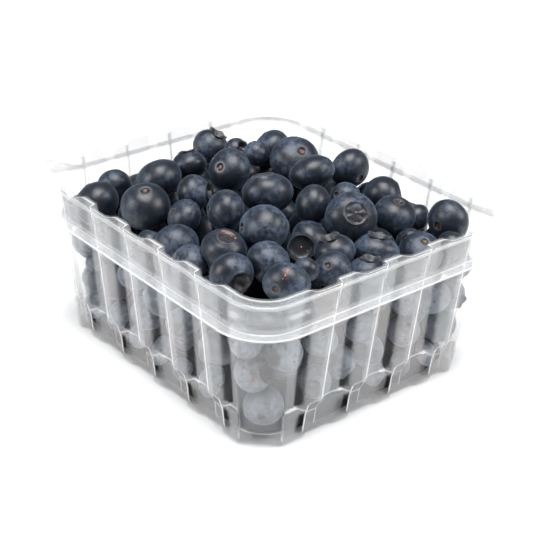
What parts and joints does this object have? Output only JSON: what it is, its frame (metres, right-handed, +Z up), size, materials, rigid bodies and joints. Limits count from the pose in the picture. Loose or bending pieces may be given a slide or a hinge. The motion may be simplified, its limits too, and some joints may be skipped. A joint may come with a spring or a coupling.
{
  "type": "punnet of blueberries",
  "caption": "Open clear plastic punnet with ribbed tapering walls, a skirted rim and corner tabs, filled to a low dome with loose blueberries.",
  "frame": {"origin": "middle of the underside, on the surface the punnet stands on", "axes": "Z up, Y along the longer walls, X along the shorter walls"},
  "size_m": [0.1161, 0.1312, 0.0646],
  "materials": {
    "punnet": "clear, slightly milky thermoformed plastic",
    "blueberries": "satin skin with a pale waxy bloom"
  },
  "bodies": {
    "root": {"punnet": "punnet", "blueberries": "blueberries"}
  },
  "joints": []
}
